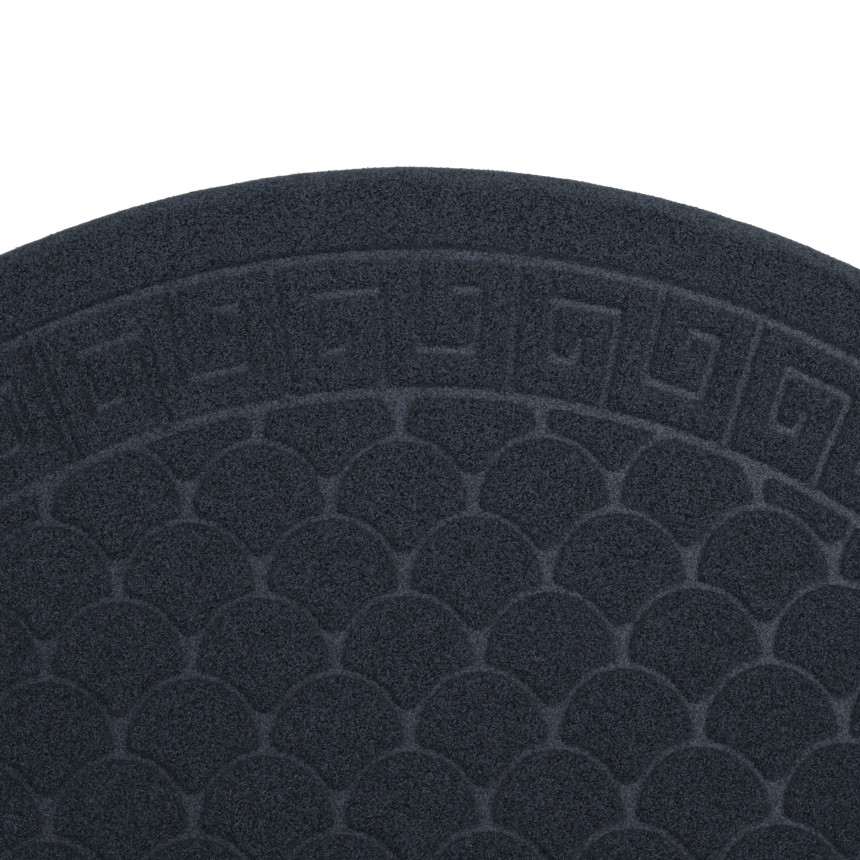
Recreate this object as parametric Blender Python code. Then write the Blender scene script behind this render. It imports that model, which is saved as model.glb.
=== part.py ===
"""Half moon doormat: one moulded slab of needled pile with pressed grooves.

The mat lies flat, its straight side along X and its arch towards +Y. Its
origin is under the middle of its bounding box, on the surface it lies on.
Every outline is a circle stretched in depth, as is each fish-scale dome.
"""
from math import acos, asin, cos, pi, radians, sin

import bmesh
import bpy
from mathutils import Vector
from mathutils.geometry import delaunay_2d_cdt

# Overall size
WIDTH = 0.750
DEPTH = 0.450
GROOVE_FLOOR = 0.005
RIM_PILE = 0.003
BLOCK_PILE = 0.002

# Border, measured at the sides of the arch, from groove middle to groove middle
RIM = 0.0290
KEY_BAND = 0.0452
BORDER_GROOVE = 0.0040
CORNER = 0.015
SHOULDER = 0.005

# Key pattern: one period holds a hook from the inner groove and one from the outer groove
KEY_ANGLE = radians(14.4)
KEY_PERIODS = 11
KEY_GROOVE = 0.0028

# Fish scales
SCALE_PITCH = 0.0489
SCALE_DOME = 0.0221
SCALE_GROOVE = 0.0024
SCALE_TIP = 0.0422
SCALE_CHAMFER = 0.0016
FIRST_ROW = 0.3411
SMALLEST_SCALE = 45e-6

# Fineness of the round stretches
ARCH_STEPS = 60
CORNER_STEPS = 3
DOME_STEPS = 7
FLANK_STEPS = 3
SHOULDER_STEPS = 3
MERGE = 5e-5

# Worked out from the sizes above
HALF = WIDTH / 2
STRETCH = DEPTH / HALF
ROW_PITCH = SCALE_PITCH / 2 * STRETCH
OUTER_GROOVE = 1 - RIM / HALF
INNER_GROOVE = OUTER_GROOVE - KEY_BAND / HALF
GROOVE_SHARE = BORDER_GROOVE / 2 / HALF

# Each hook's corners: share of the period across, share of the key band out from the inner groove
HOOK_FROM_INNER = (
    # across, out
    (0.430, 0.000),
    (0.435, 0.725),
    (0.160, 0.720),
    (0.165, 0.300),
    (0.282, 0.310),
    (0.285, 0.500),
)
HOOK_FROM_OUTER = (
    # across, out
    (0.592, 1.000),
    (0.585, 0.295),
    (0.843, 0.290),
    (0.850, 0.730),
    (0.738, 0.730),
    (0.738, 0.550),
)


def on_arch(angle, share):
    """Point on the arch's stretched circle, shrunk to a share of its size."""
    return Vector((HALF * share * sin(angle), DEPTH * share * cos(angle) - DEPTH / 2))


def half_moon(share, lift, corner=0.0):
    """Closed loop of an arch and a straight side that lies a lift above the mat's own.

    The two corners are rounded where a corner size is given, and the loop
    runs counterclockwise from the right corner.
    """
    end = acos(lift / (DEPTH * share))
    cut = corner / (DEPTH * share)
    arch = [on_arch((end - cut) * (1 - 2 * i / ARCH_STEPS), share) for i in range(ARCH_STEPS + 1)]
    if not corner:
        return arch
    tip = on_arch(end, share)
    rounds = []
    for i in range(1, CORNER_STEPS + 1):
        t = i / CORNER_STEPS
        inward = Vector((tip.x - corner, tip.y))
        rounds.append(arch[0] * (1 - t) ** 2 + tip * (2 * t * (1 - t)) + inward * t ** 2)
    mirrored = [Vector((-p.x, p.y)) for p in rounds]
    return arch + mirrored + rounds[::-1]


def ribbon(route, width):
    """Outline of a groove of even width along a route, with mitred corners and square ends."""
    left = []
    right = []
    for i, point in enumerate(route):
        before = (point - route[i - 1]).normalized() if i else None
        after = (route[i + 1] - point).normalized() if i + 1 < len(route) else None
        ways = [way for way in (before, after) if way]
        mitre = sum((Vector((-way.y, way.x)) for way in ways), Vector((0, 0))).normalized()
        side = mitre * (width / 2 / abs(mitre.dot(Vector((-ways[0].y, ways[0].x)))))
        left.append(point + side)
        right.append(point - side)
    return right + left[::-1]


def key_grooves():
    """Outlines of the cuts between the key blocks and of the two hooks in each block."""
    grooves = []
    start = -KEY_PERIODS / 2 * KEY_ANGLE
    for k in range(KEY_PERIODS + 1):
        routes = [((0.0, 0.0), (0.0, 1.0))]
        if k < KEY_PERIODS:
            routes += [HOOK_FROM_INNER, HOOK_FROM_OUTER]
        for route in routes:
            points = [
                on_arch(start + (k + across) * KEY_ANGLE, INNER_GROOVE + out * KEY_BAND / HALF)
                for across, out in route
            ]
            grooves.append(ribbon(points, KEY_GROOVE))
    return grooves


def scale(x, top):
    """Outline of one fish scale: a dome above, two hollow flanks and a blunt tip below."""
    tall = SCALE_DOME * STRETCH
    middle = top - tall
    dome = [
        Vector((x + SCALE_DOME * cos(t), middle + tall * sin(t)))
        for t in (pi * i / DOME_STEPS for i in range(DOME_STEPS + 1))
    ]
    # The flanks run along the two domes of the next row, a groove's width off
    wide = SCALE_DOME + SCALE_GROOVE
    high = wide * STRETCH
    first = asin((SCALE_PITCH / 2 - SCALE_DOME + SCALE_CHAMFER) / wide)
    last = acos((tall + ROW_PITCH - SCALE_TIP) / high)
    flank = [
        (SCALE_PITCH / 2 - wide * sin(t), middle - ROW_PITCH + high * cos(t))
        for t in (first + (last - first) * i / FLANK_STEPS for i in range(FLANK_STEPS + 1))
    ]
    left = [Vector((x - across, y)) for across, y in flank]
    right = [Vector((x + across, y)) for across, y in reversed(flank)]
    return dome + left + right


def trimmed(outline, border):
    """Part of an outline inside a convex border that runs counterclockwise."""
    for start, end in zip(border, border[1:] + border[:1]):
        along = end - start
        kept = []
        for here, there in zip(outline, outline[1:] + outline[:1]):
            inside = along.cross(here - start)
            inside_next = along.cross(there - start)
            if inside >= 0:
                kept.append(here)
            if inside * inside_next < 0:
                kept.append(here.lerp(there, inside / (inside - inside_next)))
        outline = kept
    return outline


def scales(field):
    """Outlines of the rows of scales, each row half a pitch aside, cut off where the field ends."""
    outlines = []
    columns = int(max(p.x for p in field) / SCALE_PITCH) + 1
    floor = min(p.y for p in field)
    top = FIRST_ROW - DEPTH / 2 + ROW_PITCH
    row = -1
    while top > floor:
        shift = row % 2 * SCALE_PITCH / 2
        for column in range(-columns, columns + 1):
            outline = trimmed(scale(column * SCALE_PITCH + shift, top), field)
            if outline:
                outlines.append(outline)
        top -= ROW_PITCH
        row += 1
    return outlines


def plan(bm, lift):
    """Lays the whole grooved area as one flat sheet and returns its faces that stand proud."""
    slack = BORDER_GROOVE / 2
    whole = half_moon(OUTER_GROOVE + GROOVE_SHARE, lift - slack, CORNER)
    band = half_moon(OUTER_GROOVE - GROOVE_SHARE, lift + slack, CORNER)
    centre = half_moon(INNER_GROOVE + GROOVE_SHARE, lift)
    field = half_moon(INNER_GROOVE - GROOVE_SHARE, lift + slack)
    outlines = [whole, band, centre] + key_grooves()
    first_scale = len(outlines)
    outlines += scales(field)
    points = [p for outline in outlines for p in outline]
    loops = []
    start = 0
    for outline in outlines:
        loops.append(list(range(start, start + len(outline))))
        start += len(outline)
    flat, _, cells, _, _, owners = delaunay_2d_cdt(points, [], loops, 1, MERGE)
    verts = [bm.verts.new((p.x, p.y, GROOVE_FLOOR)) for p in flat]
    proud = []
    for cell, held in zip(cells, owners):
        face = bm.faces.new([verts[i] for i in cell])
        in_block = set(held) == {0, 1}
        in_scale = max(held) >= first_scale
        if in_block or in_scale:
            proud.append(face)
    return [face for patch in patches(proud) for face in patch]


def patches(faces):
    """Splits faces into touching groups, and leaves out groups too small to be moulded."""
    left = set(faces)
    groups = []
    for face in faces:
        if face not in left:
            continue
        left.discard(face)
        group = [face]
        for member in group:
            for edge in member.edges:
                for other in edge.link_faces:
                    if other in left:
                        left.discard(other)
                        group.append(other)
        if sum(member.calc_area() for member in group) > SMALLEST_SCALE:
            groups.append(group)
    return groups


def raise_by(bm, extruded, height):
    """Moves the new points of an extrusion up by a height."""
    moved = [item for item in extruded["geom"] if isinstance(item, bmesh.types.BMVert)]
    bmesh.ops.translate(bm, vec=(0, 0, height), verts=moved)


def edges_of(extruded):
    """New edges of an extrusion whose two ends both moved."""
    moved = {item for item in extruded["geom"] if isinstance(item, bmesh.types.BMVert)}
    return [
        item
        for item in extruded["geom"]
        if isinstance(item, bmesh.types.BMEdge) and moved.issuperset(item.verts)
    ]


def rim(bm):
    """Adds the raised rim round the grooved area, its outer wall and the flat underside."""
    border = [edge for edge in bm.edges if edge.is_boundary]
    wall = bmesh.ops.extrude_edge_only(bm, edges=border)
    raise_by(bm, wall, RIM_PILE)
    top = GROOVE_FLOOR + RIM_PILE
    corners = [bm.verts.new((p.x, p.y, top)) for p in half_moon(1.0, 0.0, CORNER)]
    outer = [bm.edges.new((a, b)) for a, b in zip(corners, corners[1:] + corners[:1])]
    bmesh.ops.bridge_loops(bm, edges=edges_of(wall) + outer)
    side = bmesh.ops.extrude_edge_only(bm, edges=outer)
    raise_by(bm, side, -top)
    bmesh.ops.edgeloop_fill(bm, edges=edges_of(side))
    bmesh.ops.bevel(
        bm,
        geom=outer,
        offset=SHOULDER,
        offset_type="OFFSET",
        segments=SHOULDER_STEPS,
        profile=0.5,
        affect="EDGES",
        material=-1,
    )


def pile_material():
    """Dark navy needled felt."""
    material = bpy.data.materials.new("navy_felt")
    material.use_nodes = True
    shader = material.node_tree.nodes["Principled BSDF"]
    shader.inputs["Base Color"].default_value = (0.022, 0.030, 0.041, 1)
    shader.inputs["Roughness"].default_value = 0.95
    shader.inputs["Metallic"].default_value = 0.0
    return material


def build_mat():
    """Makes the mat as one closed solid."""
    bm = bmesh.new()
    proud = plan(bm, RIM * STRETCH)
    borders = list({edge for face in proud for edge in face.edges})
    raise_by(bm, bmesh.ops.extrude_face_region(bm, geom=proud + borders), BLOCK_PILE)
    rim(bm)
    bmesh.ops.remove_doubles(bm, verts=bm.verts, dist=MERGE)
    bmesh.ops.recalc_face_normals(bm, faces=bm.faces)
    mesh = bpy.data.meshes.new("mat")
    bm.to_mesh(mesh)
    bm.free()
    mesh.materials.append(pile_material())
    mat = bpy.data.objects.new("mat", mesh)
    bpy.context.collection.objects.link(mat)
    return mat


for leftover in list(bpy.data.objects):
    bpy.data.objects.remove(leftover, do_unlink=True)
build_mat()
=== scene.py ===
"""Half moon doormat of needled navy felt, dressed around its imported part.

The felt is one closed sheet with the pattern pressed into it: a raised rim, a band of
key blocks and a field of fish scales. Loose fibres lie on the pile and along its edge.
Lengths are in metres, +Y runs to the top of the arch and +Z out of the pile.
"""

import logging
from collections.abc import Callable, Sequence
from dataclasses import dataclass, field
from enum import Enum, IntEnum
from math import acos, asin, cos, pi, radians, sin
from typing import TypeAlias

import bmesh
import bpy
import numpy as np
from mathutils import Matrix, Vector, noise
from mathutils.geometry import delaunay_2d_cdt
from mathutils.kdtree import KDTree


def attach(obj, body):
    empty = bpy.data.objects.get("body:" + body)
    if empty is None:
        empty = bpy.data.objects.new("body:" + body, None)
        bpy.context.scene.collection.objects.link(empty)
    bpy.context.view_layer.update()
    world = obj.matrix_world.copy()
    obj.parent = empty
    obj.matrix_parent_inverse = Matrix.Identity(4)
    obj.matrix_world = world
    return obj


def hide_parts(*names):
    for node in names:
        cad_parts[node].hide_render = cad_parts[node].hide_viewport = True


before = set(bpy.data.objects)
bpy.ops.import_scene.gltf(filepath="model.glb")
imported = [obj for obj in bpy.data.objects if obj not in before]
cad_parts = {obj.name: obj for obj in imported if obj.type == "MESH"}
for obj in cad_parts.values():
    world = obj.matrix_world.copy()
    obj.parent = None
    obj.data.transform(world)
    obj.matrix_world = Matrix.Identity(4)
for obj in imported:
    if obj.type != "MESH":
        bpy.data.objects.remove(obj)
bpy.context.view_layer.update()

log = logging.getLogger("doormat")

MILLIMETRE = 0.001
Place: TypeAlias = tuple[float, float]
Colour: TypeAlias = tuple[float, float, float]
Slope: TypeAlias = tuple[float, float]  # a number's value at 0 and its rise
Dress: TypeAlias = Callable[[bpy.types.Mesh], None]


def placed(name: str, data: bpy.types.ID) -> bpy.types.Object:
    """Makes an object and links it to the scene.

    Args:
        name: The object's name.
        data: Its mesh, light or camera.

    Returns:
        The object.
    """
    made = bpy.data.objects.new(name, data)
    bpy.context.collection.objects.link(made)
    return made


def rising(values: np.ndarray, start: float, run: float | np.ndarray) -> np.ndarray:
    """Ramp from 0 at a start to 1 at the end of a run."""
    return np.clip((values - start) / run, 0, 1)


def falling(values: np.ndarray, run: float | np.ndarray) -> np.ndarray:
    """Ramp from 1 at zero to 0 at the end of a run."""
    return np.clip(1 - values / run, 0, 1)


class Side(Enum):
    """Side of an outline on which the pile stands, as a factor on its outward normal."""

    OUTSIDE = 1
    INSIDE = -1


class Line(IntEnum):
    """Number of each line that follows the mat's outline, from the outside in."""

    OUTLINE = 0
    RIM = 1
    BAND = 2
    CENTRE = 3


@dataclass(frozen=True)
class Edge:
    """One closed outline of the pattern, as a row of points that runs counterclockwise."""

    points: np.ndarray
    pile: Side

    def normals(self) -> np.ndarray:
        """Works out the unit normals that point out of the outline.

        Returns:
            One normal for each point.
        """
        along = np.roll(self.points, -1, axis=0) - np.roll(self.points, 1, axis=0)
        out = np.column_stack((along[:, 1], -along[:, 0]))
        return out / np.linalg.norm(out, axis=1)[:, None]

    def offset(self, distance: float) -> np.ndarray:
        """Points moved into the pile by a distance."""
        return self.points + self.normals() * (self.pile.value * distance)


def resampled(loop: np.ndarray, step: float, fewest: int = 8) -> np.ndarray:
    """Spreads points evenly along a closed loop.

    Args:
        loop: Corners of the loop.
        step: Wanted distance between neighbours.
        fewest: Number of points on the smallest loop.

    Returns:
        Points on the loop's sides, the first corner first.
    """
    closed = np.vstack((loop, loop[:1]))
    lengths = np.linalg.norm(np.diff(closed, axis=0), axis=1)
    run = np.concatenate(((0.0,), np.cumsum(lengths)))
    count = max(fewest, round(run[-1] / step))
    places = np.arange(count) * run[-1] / count
    return np.column_stack([np.interp(places, run, closed[:, axis]) for axis in (0, 1)])


class Nearness:
    """Distance to the nearest of some outlines, and the way that the pile's wall faces there."""

    def __init__(self, edges: Sequence[Edge], sample: float = 0.35 * MILLIMETRE) -> None:
        """Samples the outlines.

        Args:
            edges: The outlines.
            sample: How far apart they are sampled.
        """
        fine = [Edge(resampled(edge.points, sample), edge.pile) for edge in edges]
        samples = np.vstack([edge.points for edge in fine])
        self.facings = np.vstack([edge.normals() * -edge.pile.value for edge in fine])
        self.tree = KDTree(len(samples))
        for i, (x, y) in enumerate(samples):
            self.tree.insert((x, y, 0), i)
        self.tree.balance()

    def nearest(self, points: np.ndarray) -> tuple[np.ndarray, np.ndarray]:
        """Measures from some points to the nearest outline.

        Args:
            points: The points.

        Returns:
            For each point its distance and the wall's facing, out of the pile.
        """
        found = [self.tree.find((x, y, 0)) for x, y in points]
        numbers = np.array([number for _, number, _ in found])
        return np.array([distance for _, _, distance in found]), self.facings[numbers]

    def of(self, points: np.ndarray) -> np.ndarray:
        """Distance from each of some points to the nearest outline."""
        return self.nearest(points)[0]


def rounded(loop: np.ndarray, passes: int) -> np.ndarray:
    """Softens a closed loop's corners.

    Args:
        loop: Evenly spread points.
        passes: How often each point moves towards the mean of its neighbours.

    Returns:
        The softened loop.
    """
    for _ in range(passes):
        loop = (np.roll(loop, 1, axis=0) + 2 * loop + np.roll(loop, -1, axis=0)) / 4
    return loop


def trimmed(loop: np.ndarray, border: np.ndarray) -> np.ndarray:
    """Cuts a loop off at a convex border.

    Args:
        loop: Points of the loop.
        border: Points of the border, counterclockwise.

    Returns:
        Points of the part inside, or an empty array.
    """
    for start, end in zip(border, np.roll(border, -1, axis=0)):
        if not len(loop):
            break
        along = end - start
        inside = along[0] * (loop[:, 1] - start[1]) - along[1] * (loop[:, 0] - start[0])
        if inside.min() >= 0:
            continue
        kept = []
        for i, here in enumerate(loop):
            following = (i + 1) % len(loop)
            if inside[i] >= 0:
                kept.append(here)
            if inside[i] * inside[following] < 0:
                share = inside[i] / (inside[i] - inside[following])
                kept.append(here + (loop[following] - here) * share)
        loop = np.array(kept).reshape(-1, 2)
    return loop


def area_of(loop: np.ndarray) -> float:
    """Area inside a closed loop."""
    following = np.roll(loop, -1, axis=0)
    return abs(float(np.sum(loop[:, 0] * following[:, 1] - following[:, 0] * loop[:, 1]))) / 2


@dataclass(frozen=True)
class HalfMoon:
    """The mat's outline, half of a circle stretched in depth, and the lines that follow it."""

    width: float = 0.750
    depth: float = 0.450
    corner: float = 0.015
    arch_steps: int = 240
    corner_steps: int = 10

    @property
    def half(self) -> float:
        """Half of the straight side."""
        return self.width / 2

    @property
    def stretch(self) -> float:
        """How much longer the circle is in depth than across."""
        return self.depth / self.half

    def on_arch(self, angle: float, share: float) -> np.ndarray:
        """Point of the arch at a turn to the right from its top, at a share of its size."""
        return np.array(
            (self.half * share * sin(angle), self.depth * (share * cos(angle) - 0.5))
        )

    def line(self, share: float, lift: float, corner: float = 0.0) -> np.ndarray:
        """Draws the closed line of an arch and a straight side.

        Args:
            share: Share of the whole mat's size.
            lift: How far the straight side lies above the mat's own.
            corner: Size of the rounding at the straight side's ends.

        Returns:
            The line's points, counterclockwise from the right corner.
        """
        end = acos(lift / (self.depth * share))
        cut = corner / (self.depth * share)
        steps = self.arch_steps
        arch = [self.on_arch((end - cut) * (1 - 2 * i / steps), share) for i in range(steps + 1)]
        if not corner:
            return np.array(arch)
        tip = self.on_arch(end, share)
        inward = tip - (corner, 0)
        right = [
            arch[0] * (1 - t) ** 2 + tip * (2 * t * (1 - t)) + inward * t**2
            for t in (i / self.corner_steps for i in range(1, self.corner_steps + 1))
        ]
        left = [point * (-1, 1) for point in right]
        return np.array(arch + left + right[::-1])


@dataclass(frozen=True)
class KeyBand:
    """Greek key blocks between the two border grooves, cut from each other by grooves."""

    period: float = radians(14.4)
    periods: int = 11
    groove: float = 0.0035
    outward: float = 0.012
    # Corners of the two hooks: share of the period across, share of the band out
    from_inner: tuple[Place, ...] = (
        # across, out
        (0.430, 0.000),
        (0.435, 0.725),
        (0.160, 0.720),
        (0.165, 0.300),
        (0.282, 0.310),
        (0.285, 0.500),
    )
    from_outer: tuple[Place, ...] = (
        # across, out
        (0.592, 1.000),
        (0.585, 0.295),
        (0.843, 0.290),
        (0.850, 0.730),
        (0.738, 0.730),
        (0.738, 0.550),
    )
    step: float = 1.4 * MILLIMETRE
    softening: int = 2

    def ribbon(self, route: np.ndarray) -> np.ndarray:
        """Draws a groove along a route, with mitred corners and square ends.

        Args:
            route: Points of the groove's middle.

        Returns:
            The outline, counterclockwise.
        """
        ways = np.diff(route, axis=0)
        ways /= np.linalg.norm(ways, axis=1)[:, None]
        sides = np.column_stack((-ways[:, 1], ways[:, 0]))
        first = np.vstack((sides[:1], sides))
        second = np.vstack((sides, sides[-1:]))
        mitres = first + second
        mitres /= np.sum(mitres * first, axis=1)[:, None]
        reach = mitres * self.groove / 2
        return np.vstack((route - reach, (route + reach)[::-1]))

    def edges(self, moon: HalfMoon, inner: float, outer: float) -> list[Edge]:
        """Draws every groove in the band.

        Args:
            moon: The mat's outline.
            inner: Share of the mat's size at the middle of the inner border groove.
            outer: The same at the outer border groove.

        Returns:
            The edges of the cuts between the blocks and of the two hooks in each block.
        """
        made = []
        cut = ((0.0, 0.0), (0.0, 1.0))
        for k in range(self.periods + 1):
            routes = (cut, self.from_inner, self.from_outer) if k < self.periods else (cut,)
            start = (k - self.periods / 2) * self.period
            for route in routes:
                middle = [
                    moon.on_arch(
                        start + across * self.period,
                        inner + (out + self.outward) * (outer - inner),
                    )
                    for across, out in route
                ]
                loop = resampled(self.ribbon(np.array(middle)), self.step)
                made.append(Edge(rounded(loop, self.softening), Side.OUTSIDE))
        return made


@dataclass(frozen=True)
class ScaleField:
    """Rows of fish scales, each row half a pitch aside of the last."""

    pitch: float = 0.0489
    dome: float = 0.0221
    groove: float = 0.0024
    tip: float = 0.0422
    chamfer: float = 0.0016
    first_row: float = 0.3417
    smallest: float = 45e-6
    dome_steps: int = 40
    flank_steps: int = 14
    step: float = 1.7 * MILLIMETRE
    softening: int = 2

    def scale(self, stretch: float) -> np.ndarray:
        """Draws one whole scale with its top at the origin.

        Args:
            stretch: How much longer the dome is in depth than across.

        Returns:
            A dome above, a hollow flank at each side and a blunt tip below.
        """
        tall = self.dome * stretch
        drop = self.pitch / 2 * stretch
        wide = self.dome + self.groove
        high = wide * stretch
        turns = np.linspace(0, pi, self.dome_steps + 1)
        dome = np.column_stack((self.dome * np.cos(turns), tall * np.sin(turns) - tall))
        first = asin((self.pitch / 2 - self.dome + self.chamfer) / wide)
        last = acos((tall + drop - self.tip) / high)
        turns = np.linspace(first, last, self.flank_steps + 1)
        flank = np.column_stack(
            (self.pitch / 2 - wide * np.sin(turns), high * np.cos(turns) - tall - drop)
        )
        return np.vstack((dome, flank * (-1, 1), flank[::-1]))

    def edges(self, moon: HalfMoon, field_line: np.ndarray) -> list[Edge]:
        """Draws all scales, cut off where the field ends.

        Args:
            moon: The mat's outline.
            field_line: The field's own line.

        Returns:
            The edges of the scales that are large enough to be moulded.
        """
        whole = self.scale(moon.stretch)
        drop = self.pitch / 2 * moon.stretch
        columns = int(field_line[:, 0].max() / self.pitch) + 1
        made = []
        top = self.first_row - moon.depth / 2 + drop
        row = -1
        while top > field_line[:, 1].min():
            for column in range(-columns, columns + 1):
                place = ((column + row % 2 / 2) * self.pitch, top)
                loop = trimmed(whole + place, field_line)
                if len(loop) and area_of(loop) > self.smallest:
                    loop = rounded(resampled(loop, self.step), self.softening)
                    made.append(Edge(loop, Side.INSIDE))
            top -= drop
            row += 1
        return made


@dataclass(frozen=True)
class Ground:
    """The flat sheet before its pile is raised, and what is known of each of its points.

    near is a point's distance from the nearest edge of the pile, facing the way that the
    pile's wall faces there, and own the distance from the mat's outline. proud, on_rim
    and in_key tell whether it is on the pile, on the rim and in the key band.
    """

    flat: np.ndarray
    cells: Sequence[Sequence[int]]
    near: np.ndarray
    facing: np.ndarray
    own: np.ndarray
    proud: np.ndarray
    on_rim: np.ndarray
    in_key: np.ndarray

    def toward(self, place: Place) -> np.ndarray:
        """Works out how far the pile's wall faces a place.

        Args:
            place: The place.

        Returns:
            1 where the wall faces it, -1 where it faces away.
        """
        way = place - self.flat
        way /= np.linalg.norm(way, axis=1)[:, None]
        return np.sum(self.facing * way, axis=1)


@dataclass(frozen=True)
class PressingAndPaintedLight:
    """How moulding leaves the felt: pale grooves, with painted light and shade over it.

    The grooves are pressed smooth and pale. Painted shade darkens the pile's walls that face
    one place near the arch's top, and more so in the left part. Grooves that run along the
    mat get painted shade that changes across the mat, painted light makes some walls as pale
    as the grooves, and the rim's outer shoulder gets a painted sheen.
    """

    # place that the walls with painted shade face
    shade_end: Place = (0.03, 0.35)
    left_run: float = 0.1
    # painted shade of the walls and how far it reaches into the pile
    facing_shade: float = 0.5
    facing_shade_left: float = 0.25
    facing_shade_key: float = 1.7
    key_shade: float = 0.15
    rim_shade: float = 1.0
    shade_run: float = 1.6 * MILLIMETRE
    shade_run_left: float = 1.6 * MILLIMETRE
    shade_run_rim: float = 0.4 * MILLIMETRE
    shade_run_floor: float = 0.5 * MILLIMETRE
    # paleness of the grooves that run along the mat, from the left to the right, as painted
    # shade
    along_start: float = 0.12
    along_run: float = 0.06
    along_left: float = 0.5
    along_middle: float = 0.15
    along_rise: float = 2.5
    along_right: float = 0.6
    flank_pale: float = 0.55
    key_pale: float = 1.12
    # painted shade on the floors of narrow grooves and on floors beside the walls
    wide_start: float = 1.0 * MILLIMETRE
    wide_run: float = 0.7 * MILLIMETRE
    floor_run: float = 0.4 * MILLIMETRE
    # painted light: paleness of the walls that face the light, and how far it reaches into the
    # pile
    key_lit_start: float = 0.7
    key_lit_run: float = 0.3
    key_lit_left: float = 0.7
    scale_lit_way: Place = (0.5, -0.87)
    scale_lit_start: float = -0.05
    scale_lit_run: float = 0.12
    key_reach: float = 2.2 * MILLIMETRE
    scale_reach: float = 1.2 * MILLIMETRE
    # painted sheen on the rim's outer shoulder, where the felt also has a coat
    shoulder_sheen_run: float = 6.6 * MILLIMETRE
    shoulder_sheen_gain: float = 1.6
    shoulder_sheen_pale: float = 2.0

    def left(self, ground: Ground) -> np.ndarray:
        """Share of the left part's look, which is 0 from the middle to the right."""
        return rising(-ground.flat[:, 0], 0, self.left_run)

    def painted_wall_shade(self, ground: Ground) -> np.ndarray:
        """Works out the painted shade on the pile's walls.

        Args:
            ground: The flat sheet.

        Returns:
            1 at the darkest wall, 0 away from the walls.
        """
        # painted shade on walls that face one place, and on the rim's inner wall
        against = np.clip(ground.toward(self.shade_end), 0, 1)
        left = self.left(ground)
        facing_shaded = (self.facing_shade + self.facing_shade_left * left) * against
        facing_shaded = facing_shaded * np.where(ground.in_key, self.facing_shade_key, 1)
        key = self.key_shade * ground.in_key * np.clip(-ground.facing[:, 1], 0, 1)
        shade = np.minimum(np.maximum(facing_shaded, key), 1)
        shade = np.where(ground.on_rim, self.rim_shade, shade)
        run = self.shade_run + self.shade_run_left * left * against
        run = np.where(ground.on_rim, self.shade_run_rim, run)
        run = np.where(ground.proud, run, self.shade_run_floor)
        return shade * falling(ground.near, run)

    def floor_paleness_and_shade(self, ground: Ground) -> np.ndarray:
        """Works out a groove floor's paleness, with painted shade by its place, width and
        course.

        Args:
            ground: The flat sheet.

        Returns:
            About 1 in a groove that runs across the mat, less in one that runs along it.
        """
        # pressed felt's paleness, with painted shade by place, course and width
        x = ground.flat[:, 0]
        along = np.clip(self.along_middle + self.along_rise * x, 0, self.along_right)
        at_left = self.along_left * rising(-x, self.along_start, self.along_run)
        along = np.where(ground.in_key, np.maximum(along, at_left), self.flank_pale)
        wide = np.where(ground.in_key, 0, rising(ground.near, self.wide_start, self.wide_run))
        pale = along + (1 - along) * np.maximum(ground.facing[:, 1] ** 2, wide)
        return pale * np.where(ground.in_key, self.key_pale, 1)

    def light(self, ground: Ground) -> np.ndarray:
        """Works out which of the pile's walls get painted light, as pale as the grooves.

        Args:
            ground: The flat sheet.

        Returns:
            1 beside a wall that is as pale as the groove, 0 beside a dark one.
        """
        x = ground.flat[:, 0]
        key = np.maximum(
            rising(ground.facing[:, 1], self.key_lit_start, self.key_lit_run),
            -self.key_lit_left * self.left(ground) * ground.toward(self.shade_end),
        )
        right = rising(x, self.scale_lit_start, self.scale_lit_run)
        scale = ground.facing @ self.scale_lit_way * right
        return np.clip(np.where(ground.in_key, key, scale), 0, 1)

    def sheen_on_shoulder(self, ground: Ground) -> np.ndarray:
        """Share of the rim's outer shoulder that gets a painted sheen and a coat, 1 beside the
        outline.
        """
        shoulder_sheen = np.clip(self.shoulder_sheen_gain * (1 - ground.own / self.shoulder_sheen_run), 0, 1)
        return np.where(ground.on_rim, shoulder_sheen, 0)

    def paleness(self, ground: Ground) -> np.ndarray:
        """Works out how pale the felt is: pressed smooth, with painted light and shade over it.

        Args:
            ground: The flat sheet.

        Returns:
            0 on the pile, about 1 in a groove that runs across and on the shoulder's painted
            sheen.
        """
        lit = self.light(ground)
        reach = np.where(ground.in_key, self.key_reach, self.scale_reach)
        wall = lit * falling(ground.near, reach)
        floor = np.maximum(lit, rising(ground.near, 0, self.floor_run))
        pale = self.floor_paleness_and_shade(ground) * np.where(ground.proud, wall, floor)
        pale[ground.on_rim & ground.proud] = 0
        return np.maximum(pale, np.clip(self.shoulder_sheen_pale * self.sheen_on_shoulder(ground), 0, 1))


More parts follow.
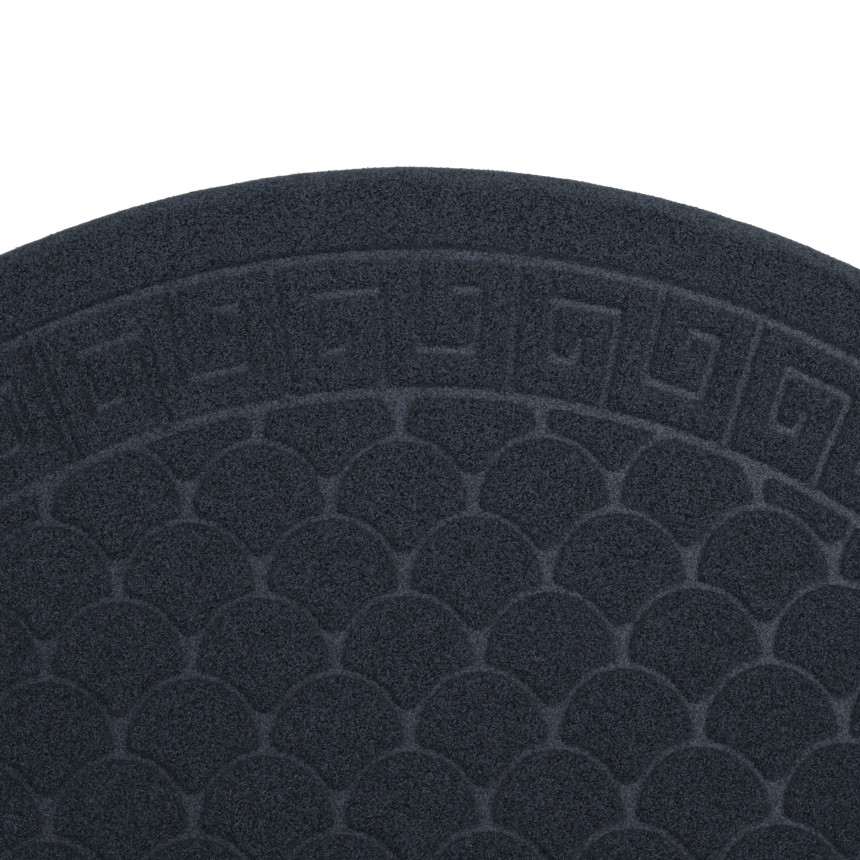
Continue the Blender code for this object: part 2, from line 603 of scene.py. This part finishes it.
@dataclass
class MouldedFelt:
    """The felt itself: one closed sheet, pressed down to its groove floor between the pile."""

    moon: HalfMoon = field(default_factory=HalfMoon)
    key: KeyBand = field(default_factory=KeyBand)
    scales: ScaleField = field(default_factory=ScaleField)
    pressing_and_light: PressingAndPaintedLight = field(default_factory=PressingAndPaintedLight)
    # height of the grooves' floor, and of the rim and the blocks above it
    floor: float = 5 * MILLIMETRE
    rim_rise: float = 3 * MILLIMETRE
    block_rise: float = 2 * MILLIMETRE
    # widths of the border
    rim: float = 0.0290
    key_band: float = 0.0452
    border_groove: float = 0.0040
    # shape of the rim's outer edge and of the pile's walls
    shoulder: float = 5 * MILLIMETRE
    wall_run: float = 1.6 * MILLIMETRE
    rim_wall_run: float = 0.5 * MILLIMETRE
    wall_power: float = 2.4
    foot: float = 0.06
    foot_run: float = 0.5 * MILLIMETRE
    # rows of points beside the grooves' edges and beside the mat's outline, and the share
    # of its distance that a row's point has to keep from every other edge
    wall_rows: tuple[float, ...] = (0.35 * MILLIMETRE, 0.85 * MILLIMETRE, 1.6 * MILLIMETRE)
    floor_rows: tuple[float, ...] = (-0.8 * MILLIMETRE, -1.7 * MILLIMETRE)
    side_rows: tuple[float, ...] = (
        0.10 * MILLIMETRE,
        0.70 * MILLIMETRE,
        1.80 * MILLIMETRE,
        3.40 * MILLIMETRE,
        5.20 * MILLIMETRE,
    )
    row_slack: float = 0.93
    border_step: float = 2.0 * MILLIMETRE
    # scatter of points over the rest, with its jitter as a share of the grain
    grain: float = 4.3 * MILLIMETRE
    grain_depth: float = 0.87
    jitter: float = 0.22
    clearance: float = 2.9 * MILLIMETRE
    side_clearance: float = 1.4
    merge: float = 1e-6
    seed: int = 7
    first_scale: int = field(default=0, init=False)

    def lay_out(self) -> list[Edge]:
        """Lists the pattern's outlines, from the outside in.

        Returns:
            The lines in the order of their numbers, the key grooves and the scales.
        """
        moon = self.moon
        outer = 1 - self.rim / moon.half
        inner = outer - self.key_band / moon.half
        slack = self.border_groove / 2
        share = slack / moon.half
        lift = self.rim * moon.stretch
        lines = (
            (moon.line(1.0, 0.0, moon.corner), Side.INSIDE),
            (moon.line(outer + share, lift - slack, moon.corner), Side.OUTSIDE),
            (moon.line(outer - share, lift + slack, moon.corner), Side.INSIDE),
            (moon.line(inner + share, lift), Side.OUTSIDE),
        )
        edges = [Edge(resampled(line, self.border_step), side) for line, side in lines]
        edges += self.key.edges(moon, inner, outer)
        self.first_scale = len(edges)
        edges += self.scales.edges(moon, moon.line(inner - share, lift + slack))
        return edges

    def filling(self, edges: Sequence[Edge]) -> np.ndarray:
        """Fills the places between the outlines: rows beside each one, a scatter elsewhere.

        Args:
            edges: The pattern's outlines, the mat's own first.

        Returns:
            The points.
        """
        to_pattern = Nearness(edges)
        pattern_rows = self.wall_rows + self.floor_rows
        rows = [
            (edge.offset(distance), abs(distance))
            for edge in edges
            for distance in (self.side_rows if edge is edges[0] else pattern_rows)
        ]
        beside = np.vstack([row for row, _ in rows])
        wanted = np.concatenate([np.full(len(row), distance) for row, distance in rows])
        beside = beside[to_pattern.of(beside) > wanted * self.row_slack]
        random = np.random.default_rng(self.seed)
        moon = self.moon
        across = np.arange(-moon.half, moon.half, self.grain)
        along = np.arange(-moon.depth / 2, moon.depth / 2, self.grain * self.grain_depth)
        x, y = np.meshgrid(across, along)
        x = x + (np.arange(len(along)) % 2 * self.grain / 2)[:, None]
        scatter = np.column_stack((x.ravel(), y.ravel()))
        scatter += random.uniform(-self.jitter, self.jitter, scatter.shape) * self.grain
        inside = np.hypot(scatter[:, 0] / moon.half, scatter[:, 1] / moon.depth + 0.5) < 1
        scatter = scatter[inside & (scatter[:, 1] > -moon.depth / 2)]
        scatter = scatter[to_pattern.of(scatter) > self.clearance]
        from_side = Nearness(edges[:1]).of(scatter)
        scatter = scatter[from_side > self.side_rows[-1] * self.side_clearance]
        return np.vstack((beside, scatter))

    def stands(self, held: set[int]) -> bool:
        """Tells pile from groove floor, by the numbers of the outlines that a face lies in."""
        on_rim_or_block = held in ({Line.OUTLINE}, {Line.OUTLINE, Line.RIM, Line.BAND})
        return on_rim_or_block or max(held) >= self.first_scale

    def ground(self) -> Ground:
        """Joins the outlines and the points between them to one flat sheet.

        Returns:
            The sheet.
        """
        edges = self.lay_out()
        points = np.vstack([edge.points for edge in edges] + [self.filling(edges)])
        loops = []
        start = 0
        for edge in edges:
            loops.append(list(range(start, start + len(edge.points))))
            start += len(edge.points)
        flat, _, cells, _, _, owners = delaunay_2d_cdt(
            [Vector(point) for point in points], [], loops, 1, self.merge
        )
        flat = np.array(flat)
        proud = np.ones(len(flat), bool)
        on_rim = np.zeros(len(flat), bool)
        in_key = np.zeros(len(flat), bool)
        for cell, held in zip(cells, map(set, owners)):
            if not self.stands(held):
                proud[cell] = False
            if held == {Line.OUTLINE}:
                on_rim[cell] = True
            if Line.BAND in held and Line.CENTRE not in held:
                in_key[cell] = True
        near, facing = Nearness(edges[1:]).nearest(flat)
        own = Nearness(edges[:1]).of(flat)
        own[: len(edges[0].points)] = 0
        return Ground(flat, cells, near, facing, own, proud, on_rim, in_key & ~on_rim)

    def wall(self, ground: Ground) -> np.ndarray:
        """Works out the share of its full height that the felt reaches.

        Args:
            ground: The flat sheet.

        Returns:
            1 on the pile, the foot's share at its edge and 0 on a groove's floor.
        """
        run = np.where(ground.on_rim, self.rim_wall_run, self.wall_run)
        up = 1 - falling(ground.near, run) ** self.wall_power
        down = falling(ground.near, self.foot_run) ** 2
        return np.where(ground.proud, self.foot + (1 - self.foot) * up, self.foot * down)

    def side(self, distance: np.ndarray) -> np.ndarray:
        """Works out the height of the rim's outer side.

        Args:
            distance: Distance from the mat's outline.

        Returns:
            The height of a short upright side below a round shoulder.
        """
        top = self.floor + self.rim_rise
        run = falling(distance, self.shoulder)
        return np.where(distance > 0, top - self.shoulder * (1 - np.sqrt(1 - run**2)), 0)

    def sheet(self) -> tuple[bmesh.types.BMesh, dict[str, np.ndarray]]:
        """Lays the whole mat out flat and raises its pile.

        Returns:
            The open sheet and what is kept at its points, by name: the pile's share of
            its height, the painted shade of its walls, the paleness of pressed felt with painted
            light and shade, and the painted sheen on its outer shoulder.
        """
        ground = self.ground()
        share = self.wall(ground)
        rise = np.where(ground.on_rim, self.rim_rise, self.block_rise)
        height = np.minimum(self.floor + rise * share, self.side(ground.own))
        bm = bmesh.new()
        verts = [bm.verts.new((x, y, z)) for (x, y), z in zip(ground.flat, height)]
        for cell in ground.cells:
            bm.faces.new([verts[i] for i in cell]).smooth = True
        return bm, {
            "pile": np.where(ground.own == 0, 1, share),
            # painted shade on the walls, pressed paleness with painted light and shade, painted
            # sheen on the shoulder
            "wall": self.pressing_and_light.painted_wall_shade(ground),
            "pressed_and_lit": self.pressing_and_light.paleness(ground),
            "shoulder_sheen": self.pressing_and_light.sheen_on_shoulder(ground),
        }

    def unevenness(self, bm: bmesh.types.BMesh, share: np.ndarray) -> None:
        """Moves the sheet's points a little, as needling and pressing leave them.

        Args:
            bm: The open sheet.
            share: The pile's share at each point.
        """
        # This noise is shifted by the clock until it is given a seed
        noise.seed_set(self.seed)
        layers = (
            # wavelength, sideways, up
            (70 * MILLIMETRE, 0.45 * MILLIMETRE, 0.00 * MILLIMETRE),
            (16 * MILLIMETRE, 0.22 * MILLIMETRE, 0.16 * MILLIMETRE),
            (6 * MILLIMETRE, 0.18 * MILLIMETRE, 0.07 * MILLIMETRE),
        )
        for vert, pile in zip(bm.verts, share):
            move = Vector()
            for length, sideways, up in layers:
                drift = noise.noise_vector(vert.co / length)
                move += Vector((drift.x * sideways, drift.y * sideways, drift.z * up * pile))
            if vert.co.z == 0:
                move.z = 0
            vert.co += move

    def build(self, dress: Dress) -> bpy.types.Object:
        """Makes the felt as one closed mesh.

        Args:
            dress: Gives the mesh its finish.

        Returns:
            The felt's object.
        """
        bm, kept = self.sheet()
        self.unevenness(bm, kept["pile"])
        for name, values in kept.items():
            layer = bm.verts.layers.float.new(name)
            for vert, value in zip(bm.verts, values):
                vert[layer] = value
        hem = [edge for edge in bm.edges if edge.is_boundary]
        for edge in hem:
            edge.smooth = False
        bmesh.ops.edgeloop_fill(bm, edges=hem)
        bmesh.ops.recalc_face_normals(bm, faces=bm.faces)
        mesh = bpy.data.meshes.new("moulded_felt")
        bm.to_mesh(mesh)
        bm.free()
        dress(mesh)
        felt = placed("moulded_felt", mesh)
        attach(felt, "root")
        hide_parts("mat")
        return felt

    @property
    def flat_area(self) -> float:
        """Area of the flat cut, half of an ellipse."""
        return pi / 2 * self.moon.half * self.moon.depth


def from_least(least: float, share: np.ndarray) -> np.ndarray:
    """Factor that grows from its least value to 1 with a share."""
    return least + (1 - least) * share


@dataclass
class LooseFibres:
    """Short fibres that the needles pulled up, lying over the felt in every direction."""

    name: str
    count: int
    seed: int
    corners: int = 4
    width: float = 0.24 * MILLIMETRE
    taper: float = 0.6
    shortest: float = 0.6 * MILLIMETRE
    longest: float = 1.5 * MILLIMETRE
    lean: float = radians(24)
    least_lean: float = 0.1
    roll: float = 0.9
    # shares of the lean and the length that are left in a groove and on the rim's side
    groove_lean: float = 0.35
    groove_length: float = 0.6
    side_length: float = 0.4
    # faces whose normal points further down than this are the underside, and bare
    underside: float = -0.5
    tiny: float = 1e-15
    # shapes of the beta distribution of tones, which has more dark fibres than pale ones
    tones: tuple[float, float] = (1.6, 2.4)

    def build(self, felt: bpy.types.Object, dress: Dress) -> bpy.types.Object:
        """Scatters the fibres evenly over the felt's upper side.

        Args:
            felt: The felt they grow from.
            dress: Gives the mesh its finish.

        Returns:
            The fibres' object.
        """
        random = np.random.default_rng(self.seed)
        roots, normals, pile = self.scatter(felt.data, random)
        mesh = self.blades(roots, normals, pile, random)
        tone = random.beta(*self.tones, self.count)
        for name, values in (("tone", tone), ("pile", pile)):
            layer = mesh.attributes.new(name, "FLOAT", "POINT")
            each = np.repeat(values, self.corners).astype(np.float32)
            layer.data.foreach_set("value", each)
        dress(mesh)
        fibres = placed(self.name, mesh)
        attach(fibres, "root")
        return fibres

    def blades(
        self,
        roots: np.ndarray,
        normals: np.ndarray,
        pile: np.ndarray,
        random: np.random.Generator,
    ) -> bpy.types.Mesh:
        """Makes one narrow blade for each fibre, which leans out of the felt.

        Args:
            roots: Where the fibres leave the felt.
            normals: The felt's normals there.
            pile: The pile's share there.
            random: The source of chance.

        Returns:
            The mesh of all blades.
        """
        turn = random.uniform(0, 2 * pi, self.count)
        flat = np.column_stack((np.cos(turn), np.sin(turn), np.zeros(self.count)))
        flat -= normals * np.sum(flat * normals, axis=1)[:, None]
        flat /= np.linalg.norm(flat, axis=1)[:, None]
        across = np.cross(normals, flat)
        upright = np.clip(normals[:, 2], 0, 1)
        lean = self.lean * random.uniform(self.least_lean, 1.0, self.count)
        lean = lean * from_least(self.groove_lean, pile) * upright**2
        way = flat * np.cos(lean)[:, None] + normals * np.sin(lean)[:, None]
        length = random.uniform(self.shortest, self.longest, self.count)
        length = length * from_least(self.groove_length, pile)
        length *= from_least(self.side_length, upright)
        roll = random.uniform(-self.roll, self.roll, self.count)
        side = across * np.cos(roll)[:, None] + normals * np.sin(roll)[:, None]
        side *= self.width / 2
        tip = roots + way * length[:, None]
        corners = np.stack(
            (roots - side, roots + side, tip + side * self.taper, tip - side * self.taper),
            axis=1,
        )
        corners += (normals * (self.width / 2))[:, None, :]
        corners[:, :, 2] = np.maximum(corners[:, :, 2], 0)
        total = self.count * self.corners
        mesh = bpy.data.meshes.new(self.name)
        mesh.vertices.add(total)
        mesh.vertices.foreach_set("co", corners.astype(np.float32).ravel())
        mesh.loops.add(total)
        mesh.loops.foreach_set("vertex_index", np.arange(total, dtype=np.int32))
        mesh.polygons.add(self.count)
        starts = np.arange(0, total, self.corners, dtype=np.int32)
        mesh.polygons.foreach_set("loop_start", starts)
        mesh.update(calc_edges=True)
        return mesh

    def scatter(
        self, mesh: bpy.types.Mesh, random: np.random.Generator
    ) -> tuple[np.ndarray, np.ndarray, np.ndarray]:
        """Picks even random places on the felt, but not on its underside.

        Args:
            mesh: The felt's mesh.
            random: The source of chance.

        Returns:
            The places, the surface's normals and the pile's share there.
        """
        mesh.calc_loop_triangles()
        total = len(mesh.loop_triangles)
        corners = np.empty(total * 3, np.int32)
        mesh.loop_triangles.foreach_get("vertices", corners)
        corners = corners.reshape(-1, 3)
        places = np.empty(len(mesh.vertices) * 3, np.float32)
        mesh.vertices.foreach_get("co", places)
        places = places.reshape(-1, 3).astype(float)
        pile = np.empty(len(mesh.vertices), np.float32)
        mesh.attributes["pile"].data.foreach_get("value", pile)
        a, b, c = (places[corners[:, i]] for i in range(3))
        normals = np.cross(b - a, c - a)
        areas = np.linalg.norm(normals, axis=1)
        normals /= np.maximum(areas, self.tiny)[:, None]
        areas[normals[:, 2] < self.underside] = 0
        picked = random.choice(total, self.count, p=areas / areas.sum())
        u, v = random.uniform(0, 1, (2, self.count))
        over = u + v > 1
        u[over], v[over] = 1 - u[over], 1 - v[over]
        weights = np.column_stack((1 - u - v, u, v))
        root = np.einsum("ij,ijk->ik", weights, places[corners[picked]])
        share = np.sum(weights * pile[corners[picked]], axis=1)
        return root, normals[picked], share


Feed: TypeAlias = "Value | bpy.types.NodeSocket | float | Sequence[float]"


class Value:
    """Number on a node's socket, on which arithmetic adds Math nodes."""

    def __init__(self, nodes: "Nodes", socket: bpy.types.NodeSocket) -> None:
        """Keeps the socket and the nodes it belongs to."""
        self.nodes = nodes
        self.socket = socket

    def worked(self, operation: str, *terms: Feed, clamp: bool = False) -> "Value":
        """Adds one Math node.

        Args:
            operation: The Math node's operation.
            terms: Its inputs in order.
            clamp: Whether the result is kept between 0 and 1.

        Returns:
            The node's output.
        """
        settings = {"operation": operation, "use_clamp": clamp}
        node = self.nodes.add("ShaderNodeMath", settings, dict(enumerate(terms)))
        return Value(self.nodes, node.outputs[0])

    def __add__(self, other: Feed) -> "Value":
        """Sum."""
        return self.worked("ADD", self, other)

    __radd__ = __add__

    def __mul__(self, other: Feed) -> "Value":
        """Product."""
        return self.worked("MULTIPLY", self, other)

    __rmul__ = __mul__

    def __sub__(self, other: Feed) -> "Value":
        """Difference."""
        return self.worked("SUBTRACT", self, other)

    def __rsub__(self, other: Feed) -> "Value":
        """Difference from a plain number."""
        return self.worked("SUBTRACT", other, self)

    def __abs__(self) -> "Value":
        """Size without its sign."""
        return self.worked("ABSOLUTE", self)

    def at_most(self, other: Feed) -> "Value":
        """The smaller of two numbers."""
        return self.worked("MINIMUM", self, other)

    def at_least(self, other: Feed) -> "Value":
        """The larger of two numbers."""
        return self.worked("MAXIMUM", self, other)

    def clamped(self) -> "Value":
        """The number kept between 0 and 1."""
        return self.worked("ADD", self, 0.0, clamp=True)

    def spread(self, gain: float) -> "Value":
        """The number with more contrast about one half, kept between 0 and 1."""
        return ((self - 0.5) * gain + 0.5).clamped()

    def sloped(self, slope: Slope) -> "Value":
        """Height of a straight line over this number."""
        return slope[0] + slope[1] * self


class Nodes:
    """Node tree of one material."""

    def __init__(self, name: str) -> None:
        """Makes a material and keeps its tree."""
        self.material = bpy.data.materials.new(name)
        self.material.use_nodes = True
        self.tree = self.material.node_tree
        self.shader = self.tree.nodes["Principled BSDF"]

    def add(
        self, kind: str, settings: dict[str, object], inputs: dict[str | int, Feed]
    ) -> bpy.types.Node:
        """Adds a node.

        Args:
            kind: The node's type.
            settings: Values of its properties, set first.
            inputs: Values or links of its sockets.

        Returns:
            The node.
        """
        node = self.tree.nodes.new(kind)
        for name, value in settings.items():
            setattr(node, name, value)
        for name, value in inputs.items():
            self.feed(node.inputs[name], value)
        return node

    def feed(self, socket: bpy.types.NodeSocket, value: Feed) -> None:
        """Links a socket, or sets its value.

        Args:
            socket: The socket to feed.
            value: A value, or an output to link from.
        """
        source = value.socket if isinstance(value, Value) else value
        if isinstance(source, bpy.types.NodeSocket):
            self.tree.links.new(source, socket)
        else:
            socket.default_value = source

    def value(
        self,
        kind: str,
        settings: dict[str, object],
        inputs: dict[str | int, Feed],
        output: str,
    ) -> Value:
        """Adds a node and takes one number from the output of the given name."""
        return Value(self, self.add(kind, settings, inputs).outputs[output])

    def attribute(self, name: str) -> Value:
        """Number that the mesh keeps at its points."""
        return self.value("ShaderNodeAttribute", {"attribute_name": name}, {}, "Fac")

    def place(self) -> bpy.types.NodeSocket:
        """Place on the piece."""
        return self.add("ShaderNodeTexCoord", {}, {}).outputs["Object"]

    def cloud(self, place: bpy.types.NodeSocket, size: float, detail: float = 2.0) -> Value:
        """Soft noise around one half, with lumps of a size and some finer layers."""
        inputs = {"Vector": place, "Scale": 1 / size, "Detail": detail}
        return self.value("ShaderNodeTexNoise", {}, inputs, "Fac")

    def finished(self, inputs: dict[str, Feed]) -> bpy.types.Material:
        """Feeds the shader.

        Args:
            inputs: Values or links of the shader's sockets.

        Returns:
            The finished material.
        """
        for name, value in inputs.items():
            self.feed(self.shader.inputs[name], value)
        return self.material

    def blend(self, share: Feed, first: Feed, second: Feed) -> bpy.types.NodeSocket:
        """Mixes two colours.

        Args:
            share: Share of the second.
            first: The first colour.
            second: The second colour.

        Returns:
            The mixed colour.
        """
        settings = {"data_type": "RGBA", "clamp_factor": True}
        inputs = {0: share}
        for number, colour in ((6, first), (7, second)):
            inputs[number] = (*colour, 1.0) if isinstance(colour, tuple) else colour
        return self.add("ShaderNodeMix", settings, inputs).outputs[2]


@dataclass(frozen=True)
class NavyFelt:
    """Needled felt: a dark ground with paler fibres in every direction, paler where pressed.

    A slope is a number's value at 0 and its rise. across and along are the place on the
    mat in metres, and fleck, the walls' painted shade, the pressed felt's paleness with
    painted light and shade, and the shoulder's painted sheen go from 0 to 1. The colour
    also holds a painted fall-off of light over the mat and painted glare on pressed felt.
    """

    # colours of the pile and of pressed felt
    ground: Colour = (0.0016, 0.0024, 0.0042)
    cool_fibre: Colour = (0.053, 0.076, 0.089)
    warm_fibre: Colour = (0.066, 0.068, 0.095)
    pressed_ground: Colour = (0.0024, 0.0034, 0.0054)
    pressed_fibre: Colour = (0.063, 0.078, 0.104)
    # pattern of fibres: turns in degrees, sizes, and the tones that count as pale
    turns: tuple[int, ...] = (25, 110)
    shift: tuple[float, float, float] = (0.01, 0.013, 0.0)
    fibre_long: float = 0.56 * MILLIMETRE
    fibre_wide: float = 0.28 * MILLIMETRE
    drift_scale: float = 420.0
    drift: float = 1.2 * MILLIMETRE
    strand_start: float = 0.65
    strand_gain: float = 4.8
    # soft patches: size and contrast
    tuft: float = 0.36 * MILLIMETRE
    tuft_gain: float = 4.5
    dye: float = 5 * MILLIMETRE
    dye_gain: float = 2.0
    mottle: float = 9 * MILLIMETRE
    # slow change of tone over the mat: random mottling and a painted fall-off of light
    mottled: Slope = (0.65, 0.2)
    to_back: Slope = (0.75, 2.7)
    to_right: float = 0.5
    to_ends: float = 6.0
    least_tone: float = 0.60
    # tone of the pile and of pressed felt
    pile_fleck: Slope = (0.35, 0.85)
    # strength of the painted shade on the walls
    wall_shade_strength: float = 0.75
    pressed_strands: Slope = (0.08, 0.82)
    pressed_fleck: Slope = (0.5, 0.7)
    # painted glare: pressed felt paler away from a line left of the middle; painted sheen on the
    # shoulder
    glare: float = 1.25
    glare_line: float = 0.075
    glare_slope: Slope = (-0.225, 3.0)
    most_glare: float = 0.4
    shoulder_sheen_slope: Slope = (1.4, 6.0)
    # surface
    relief: float = 0.30 * MILLIMETRE
    pile_relief: Slope = (0.6, 0.6)
    roughness: float = 0.95
    specular: float = 0.08
    coat: float = 0.08
    # coat on the rim's shoulder, which also gets a painted sheen
    shoulder_coat: float = 0.20
    coat_roughness: float = 0.36
    sheen: float = 0.04
    sheen_roughness: float = 0.35
    sheen_tint: Colour = (0.60, 0.70, 0.85)

    def strands(self, nodes: Nodes, place: bpy.types.NodeSocket) -> Value:
        """Lays short crossing fibres, each of one tone.

        Args:
            nodes: The material's nodes.
            place: Where the pattern is read.

        Returns:
            1 on the palest fibres, 0 on the darkest.
        """
        noise_inputs = {"Vector": place, "Scale": self.drift_scale, "Detail": 0.0}
        drift = nodes.add("ShaderNodeTexNoise", {}, noise_inputs).outputs["Color"]
        bent = nodes.add(
            "ShaderNodeVectorMath",
            {"operation": "MULTIPLY_ADD"},
            {0: drift, 1: (self.drift,) * 3, 2: place},
        ).outputs[0]
        made = None
        for turn in self.turns:
            turned = nodes.add(
                "ShaderNodeMapping",
                {"vector_type": "TEXTURE"},
                {
                    "Vector": bent,
                    "Location": [turn * part for part in self.shift],
                    "Rotation": (0.0, 0.0, radians(turn)),
                    "Scale": (self.fibre_long, self.fibre_wide, self.fibre_wide),
                },
            ).outputs[0]
            cell = nodes.add("ShaderNodeTexVoronoi", {}, {"Vector": turned, "Scale": 1.0})
            tone = nodes.value(
                "ShaderNodeVectorMath",
                {"operation": "DOT_PRODUCT"},
                {0: cell.outputs["Color"], 1: (1.0, 0.0, 0.0)},
                "Value",
            )
            made = tone if made is None else made.at_least(tone)
        return ((made - self.strand_start) * self.strand_gain).clamped()

    def light_falloff(self, across: Value, along: Value) -> Value:
        """Painted fall-off of light: tone that falls towards the straight side and towards both
        ends.
        """
        tone = along.sloped(self.to_back) + self.to_right * across
        return (tone - self.to_ends * across * across).at_least(self.least_tone)

    def shine(self, across: Value, pressed_and_lit: Value, shoulder_sheen: Value) -> Value:
        """Painted glare on pressed felt, by its place across the mat, and the shoulder's painted
        sheen.
        """
        outward = abs(across + self.glare_line).sloped(self.glare_slope)
        outward = outward.at_least(0.0).at_most(self.most_glare)
        return pressed_and_lit.at_least(1.0) * (
            self.glare + outward + shoulder_sheen * across.sloped(self.shoulder_sheen_slope)
        )

    def material(self) -> bpy.types.Material:
        """Makes the material.

        Returns:
            The finished material.
        """
        nodes = Nodes("navy_felt")
        place = nodes.place()
        pile, wall, pressed_and_lit, shoulder_sheen = (
            nodes.attribute(name) for name in ("pile", "wall", "pressed_and_lit", "shoulder_sheen")
        )
        across, along = (
            nodes.value("ShaderNodeSeparateXYZ", {}, {"Vector": place}, axis) for axis in "XY"
        )
        strands = self.strands(nodes, place)
        fleck = nodes.cloud(place, self.tuft, 1.0).spread(self.tuft_gain)
        dye = nodes.cloud(place, self.dye, 1.0).spread(self.dye_gain)
        fibre = nodes.blend(dye, self.cool_fibre, self.warm_fibre)
        mottle = nodes.cloud(place, self.mottle).sloped(self.mottled)
        # random mottle times the painted fall-off of light
        mottle = mottle * self.light_falloff(across, along)
        standing = strands * fleck.sloped(self.pile_fleck) * mottle
        # painted shade on the pile's walls
        standing = (standing * (1 - self.wall_shade_strength * wall)).clamped()
        flat = strands.sloped(self.pressed_strands) * fleck.sloped(self.pressed_fleck)
        # pressed felt with painted glare, and painted sheen on the shoulder
        flat = (flat * mottle * self.shine(across, pressed_and_lit, shoulder_sheen)).clamped()
        height = fleck * pile.sloped(self.pile_relief)
        relief = {"Distance": self.relief, "Strength": 1.0, "Height": height}
        return nodes.finished(
            {
                "Base Color": nodes.blend(
                    pressed_and_lit,
                    nodes.blend(standing, self.ground, fibre),
                    nodes.blend(flat, self.pressed_ground, self.pressed_fibre),
                ),
                "Coat Weight": (pressed_and_lit * self.coat + shoulder_sheen * self.shoulder_coat).clamped(),
                "Coat Roughness": self.coat_roughness,
                "Normal": nodes.add("ShaderNodeBump", {}, relief).outputs[0],
                "Roughness": self.roughness,
                "Specular IOR Level": self.specular,
                "Sheen Weight": self.sheen,
                "Sheen Roughness": self.sheen_roughness,
                "Sheen Tint": (*self.sheen_tint, 1.0),
            }
        )


@dataclass(frozen=True)
class FibreYarn:
    """Single fibres of the same felt, some darker and some paler."""

    dark: Colour = (0.0016, 0.0024, 0.0042)
    pale: Colour = (0.062, 0.076, 0.098)
    dye: float = 14 * MILLIMETRE
    dyed: Slope = (0.6, 0.8)
    roughness: float = 0.75
    specular: float = 0.1

    def material(self) -> bpy.types.Material:
        """Makes the material.

        Returns:
            The finished material.
        """
        nodes = Nodes("navy_fibre")
        dye = nodes.cloud(nodes.place(), self.dye).sloped(self.dyed)
        tone = (nodes.attribute("tone") * dye).clamped()
        return nodes.finished(
            {
                "Base Color": nodes.blend(tone, self.dark, self.pale),
                "Roughness": self.roughness,
                "Specular IOR Level": self.specular,
            }
        )


@dataclass(frozen=True)
class PaleFloor:
    """Smooth white floor that the mat lies on."""

    reach: float = 12.0
    colour: Colour = (0.93, 0.93, 0.93)
    brightest: float = 1.02
    patch: float = 0.5
    roughness: float = 0.8

    def build(self) -> bpy.types.Object:
        """Makes the floor.

        Returns:
            The floor's object.
        """
        nodes = Nodes("pale_floor")
        bright = tuple(part * self.brightest for part in self.colour)
        paint = nodes.blend(nodes.cloud(nodes.place(), self.patch), self.colour, bright)
        bm = bmesh.new()
        bmesh.ops.create_grid(bm, x_segments=2, y_segments=2, size=self.reach / 2)
        mesh = bpy.data.meshes.new("floor")
        bm.to_mesh(mesh)
        bm.free()
        mesh.materials.append(
            nodes.finished({"Base Color": paint, "Roughness": self.roughness})
        )
        floor = placed("floor", mesh)
        return floor


@dataclass(frozen=True)
class SoftBox:
    """A square soft light that faces a point of the mat."""

    name: str
    place: tuple[float, float, float]
    size: float
    power: float
    aim: tuple[float, float, float] = (0.0, 0.05, 0.0)
    colour: Colour = (0.93, 0.97, 1.0)

    def build(self) -> bpy.types.Object:
        """Makes the light.

        Returns:
            The light's object.
        """
        lamp = bpy.data.lights.new(self.name, "AREA")
        lamp.shape = "SQUARE"
        lamp.size = self.size
        lamp.energy = self.power
        lamp.color = self.colour
        box = placed(self.name, lamp)
        away = Vector(self.place) - Vector(self.aim)
        box.rotation_euler = away.to_track_quat("Z", "Y").to_euler()
        box.location = self.place
        return box


@dataclass(frozen=True)
class Studio:
    """Camera, lights and floor."""

    eye: tuple[float, float, float] = (-0.05193, -0.97559, 2.20849)
    azimuth: float = radians(-3.2543)
    tilt: float = radians(26.4995)
    roll: float = radians(1.6217)
    lens: float = 298.80
    clip_end: float = 100.0
    sky: Colour = (0.93, 0.97, 1.0)
    sky_power: float = 0.40
    boxes: tuple[SoftBox, ...] = (
        # name, place, size, power
        SoftBox("left_box", (-0.75, -0.45, 0.65), 0.45, 7.0),
        SoftBox("right_box", (0.75, -0.45, 0.65), 0.45, 8.0),
        SoftBox("back_box", (0.42, 0.62, 1.05), 0.3, 7.0),
        SoftBox("top_box", (0.08, 0.40, 0.65), 0.35, 2.0),
    )

    def camera(self) -> bpy.types.Object:
        """Makes the camera and chooses it.

        Returns:
            The camera's object.
        """
        data = bpy.data.cameras.new("camera")
        data.lens = self.lens
        data.clip_end = self.clip_end
        camera = placed("camera", data)
        turn = (
            Matrix.Rotation(self.azimuth, 4, "Z")
            @ Matrix.Rotation(self.tilt, 4, "X")
            @ Matrix.Rotation(self.roll, 4, "Z")
        )
        camera.matrix_world = Matrix.Translation(self.eye) @ turn
        bpy.context.scene.camera = camera
        return camera

    def world(self) -> None:
        """Fills the room with soft light."""
        world = bpy.data.worlds.new("room")
        world.use_nodes = True
        background = world.node_tree.nodes["Background"]
        background.inputs["Color"].default_value = (*self.sky, 1.0)
        background.inputs["Strength"].default_value = self.sky_power
        bpy.context.scene.world = world

    def build(self) -> None:
        """Makes everything around the mat."""
        bpy.context.scene.view_settings.view_transform = "Standard"
        self.camera()
        self.world()
        for box in self.boxes:
            box.build()
        PaleFloor().build()


def report(piece: bpy.types.Object) -> None:
    """Logs a piece's name and number of triangles."""
    triangles = sum(len(face.vertices) - 2 for face in piece.data.polygons)
    log.info("%s: %d triangles", piece.name, triangles)


def dressed_with(material: bpy.types.Material) -> Dress:
    """Dressing that gives a mesh one material."""
    return lambda mesh: mesh.materials.append(material)


def main() -> None:
    """Builds the felt, its fibres and the studio."""
    logging.basicConfig(level=logging.INFO, format="%(name)s: %(message)s")
    moulded = MouldedFelt()
    felt = moulded.build(dressed_with(NavyFelt().material()))
    report(felt)
    yarn = FibreYarn().material()
    fibres = []
    for name, seed in (("fibres_first", 21), ("fibres_second", 22)):
        fibres.append(LooseFibres(name, 90_000, seed).build(felt, dressed_with(yarn)))
        report(fibres[-1])
    Studio().build()


if __name__ == "__main__":
    main()
